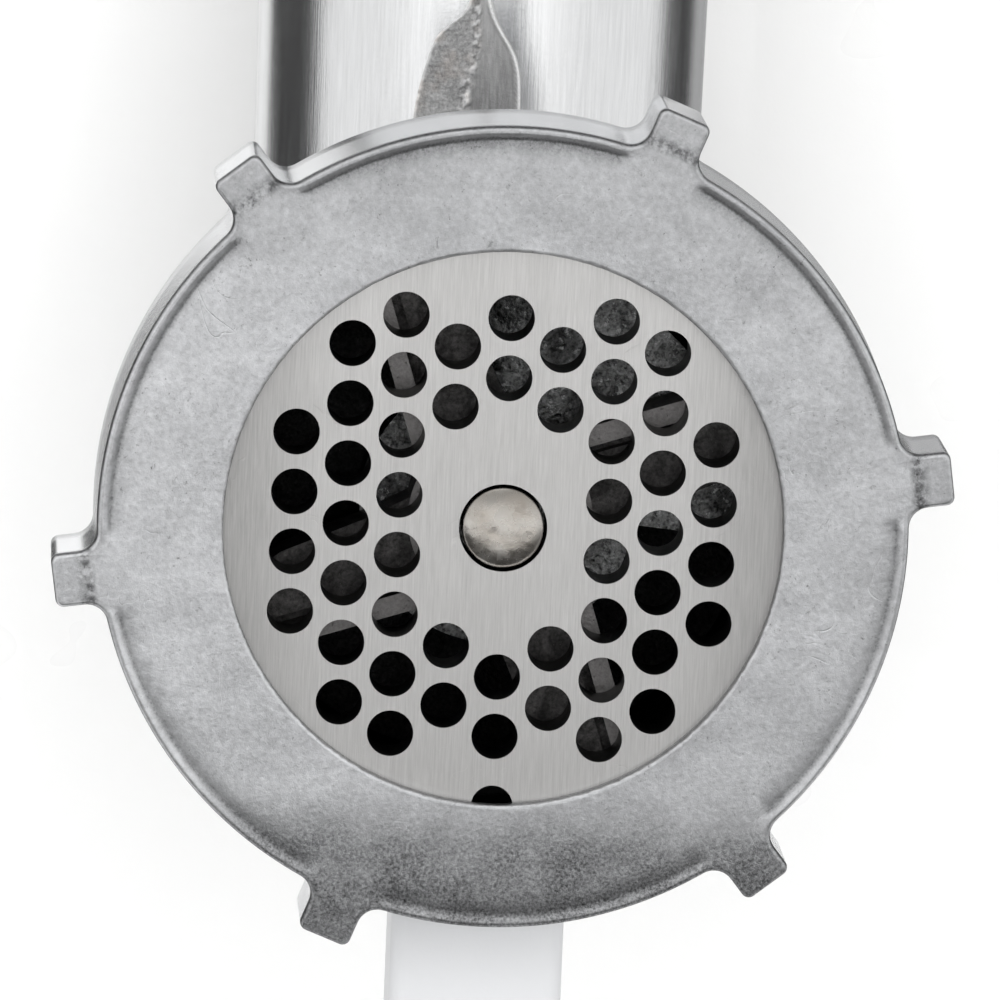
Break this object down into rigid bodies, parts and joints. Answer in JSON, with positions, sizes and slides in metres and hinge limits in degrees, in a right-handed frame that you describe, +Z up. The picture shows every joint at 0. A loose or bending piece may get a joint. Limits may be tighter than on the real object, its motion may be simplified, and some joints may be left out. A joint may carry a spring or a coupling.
{
  "type": "electric meat grinder",
  "caption": "White countertop electric meat grinder with a cast aluminium grinding head, lugged ring nut, hole plate, feed tray and pusher.",
  "frame": {"origin": "on the table under the middle of the machine's length, on the vertical plane through the auger axis", "axes": "+Z up, -Y towards the hole plate, +X to the right seen from the front"},
  "size_m": [0.198, 0.3, 0.2742],
  "materials": {
    "ring_nut": "as cast, matte",
    "plate_steel": "fine brushed",
    "knife_steel": "rough",
    "auger_metal": "cast, dimpled",
    "barrel_metal": "polished",
    "tray_metal": "satin",
    "white_plastic": "gloss",
    "pale_plastic": "satin",
    "grey_plastic": "fine grain",
    "black_plastic": "moulded",
    "button_grey": "satin",
    "rocker_red": "gloss",
    "lamp_lens": "translucent",
    "rubber": "matte",
    "pad_rubber": "matte",
    "screw_steel": "zinc plated",
    "die_cast": "die cast",
    "shaft_steel": "ground",
    "gear_steel": "sintered",
    "bronze": "sintered",
    "nylon": "natural nylon",
    "lamination": "varnished",
    "copper": "enamelled wire",
    "carbon": "graphite"
  },
  "bodies": {
    "housing": {"front_housing": "white_plastic", "rear_housing": "white_plastic", "base_plate": "pale_plastic", "feet": "rubber", "foot_screws": "screw_steel", "front_leg": "pale_plastic", "leg_pad": "pad_rubber", "leg_screws": "screw_steel", "base_screws": "screw_steel", "housing_screws": "screw_steel", "head_socket": "die_cast", "socket_screws": "screw_steel", "control_plate": "grey_plastic", "indicator_lamp": "lamp_lens", "switch_block": "black_plastic", "cord_gland": "rubber", "gearbox_front_plate": "die_cast", "gearbox_rear_plate": "die_cast", "gearbox_pillars": "die_cast", "gearbox_screws": "screw_steel", "output_bearing": "shaft_steel", "output_bush": "bronze", "compound_axle": "shaft_steel", "compound_bushes": "bronze", "motor_front_bracket": "die_cast", "motor_rear_bracket": "die_cast", "motor_screws": "screw_steel", "stator_core": "lamination", "field_coils": "copper", "motor_bearings": "shaft_steel", "brush_holders": "black_plastic", "carbon_brushes": "carbon"},
    "output": {"output_shaft": "shaft_steel", "output_gear": "gear_steel"},
    "compound": {"compound_gear": "nylon"},
    "rotor": {"armature_shaft": "shaft_steel", "motor_pinion": "bronze", "armature_core": "lamination", "armature_winding": "copper", "commutator": "copper", "cooling_fan": "nylon"},
    "head": {"barrel": "barrel_metal", "auger_bush": "bronze", "auger_washer": "nylon", "hole_plate": "plate_steel"},
    "screw": {"auger": "auger_metal", "knife": "knife_steel"},
    "ring": {"ring_nut": "ring_nut"},
    "tray": {"feed_tray": "tray_metal"},
    "plunger": {"pusher": "white_plastic", "pusher_cap": "white_plastic"},
    "release": {"release_button": "grey_plastic"},
    "rocker": {"power_rocker": "rocker_red"},
    "reverse": {"reverse_button": "button_grey"}
  },
  "joints": [
    {"name": "output_spin", "type": "hinge", "parent": "housing", "child": "output", "pos_m": [0, 0, 0.13], "axis": [0, -1, 0], "continuous": true},
    {"name": "compound_spin", "type": "hinge", "parent": "housing", "child": "compound", "pos_m": [-0.022, 0.01, 0.09963], "axis": [0, -1, 0], "continuous": true},
    {"name": "rotor_spin", "type": "hinge", "parent": "housing", "child": "rotor", "pos_m": [0, 0.07, 0.08231], "axis": [0, -1, 0], "continuous": true},
    {"name": "head_slide", "type": "slide", "parent": "housing", "child": "head", "axis": [0, -1, 0], "range_m": [0, 0.06]},
    {"name": "auger_spin", "type": "hinge", "parent": "head", "child": "screw", "pos_m": [0, -0.09, 0.13], "axis": [0, -1, 0], "continuous": true},
    {"name": "ring_turn", "type": "hinge", "parent": "head", "child": "ring", "pos_m": [0, -0.143, 0.13], "axis": [0, -1, 0], "range_deg": [0, 300]},
    {"name": "tray_lift", "type": "slide", "parent": "head", "child": "tray", "axis": [0, 0, 1], "range_m": [0, 0.03]},
    {"name": "pusher_lift", "type": "slide", "parent": "tray", "child": "plunger", "axis": [0, 0, 1], "range_m": [0, 0.1]},
    {"name": "release_press", "type": "slide", "parent": "housing", "child": "release", "axis": [0, 1, 0], "range_m": [0, 0.0035], "stiffness_N_per_m": 400, "springref_m": -0.003},
    {"name": "rocker_tilt", "type": "hinge", "parent": "housing", "child": "rocker", "pos_m": [0.076, 0.02, 0.096], "axis": [0, -1, 0], "range_deg": [0, 16]},
    {"name": "reverse_press", "type": "slide", "parent": "housing", "child": "reverse", "axis": [-1, 0, 0], "range_m": [0, 0.003], "stiffness_N_per_m": 300, "springref_m": -0.002}
  ],
  "couplings": [
    {"joint": "auger_spin", "follows": "output_spin", "ratio": 1},
    {"joint": "compound_spin", "follows": "output_spin", "ratio": -5},
    {"joint": "rotor_spin", "follows": "output_spin", "ratio": 30}
  ]
}
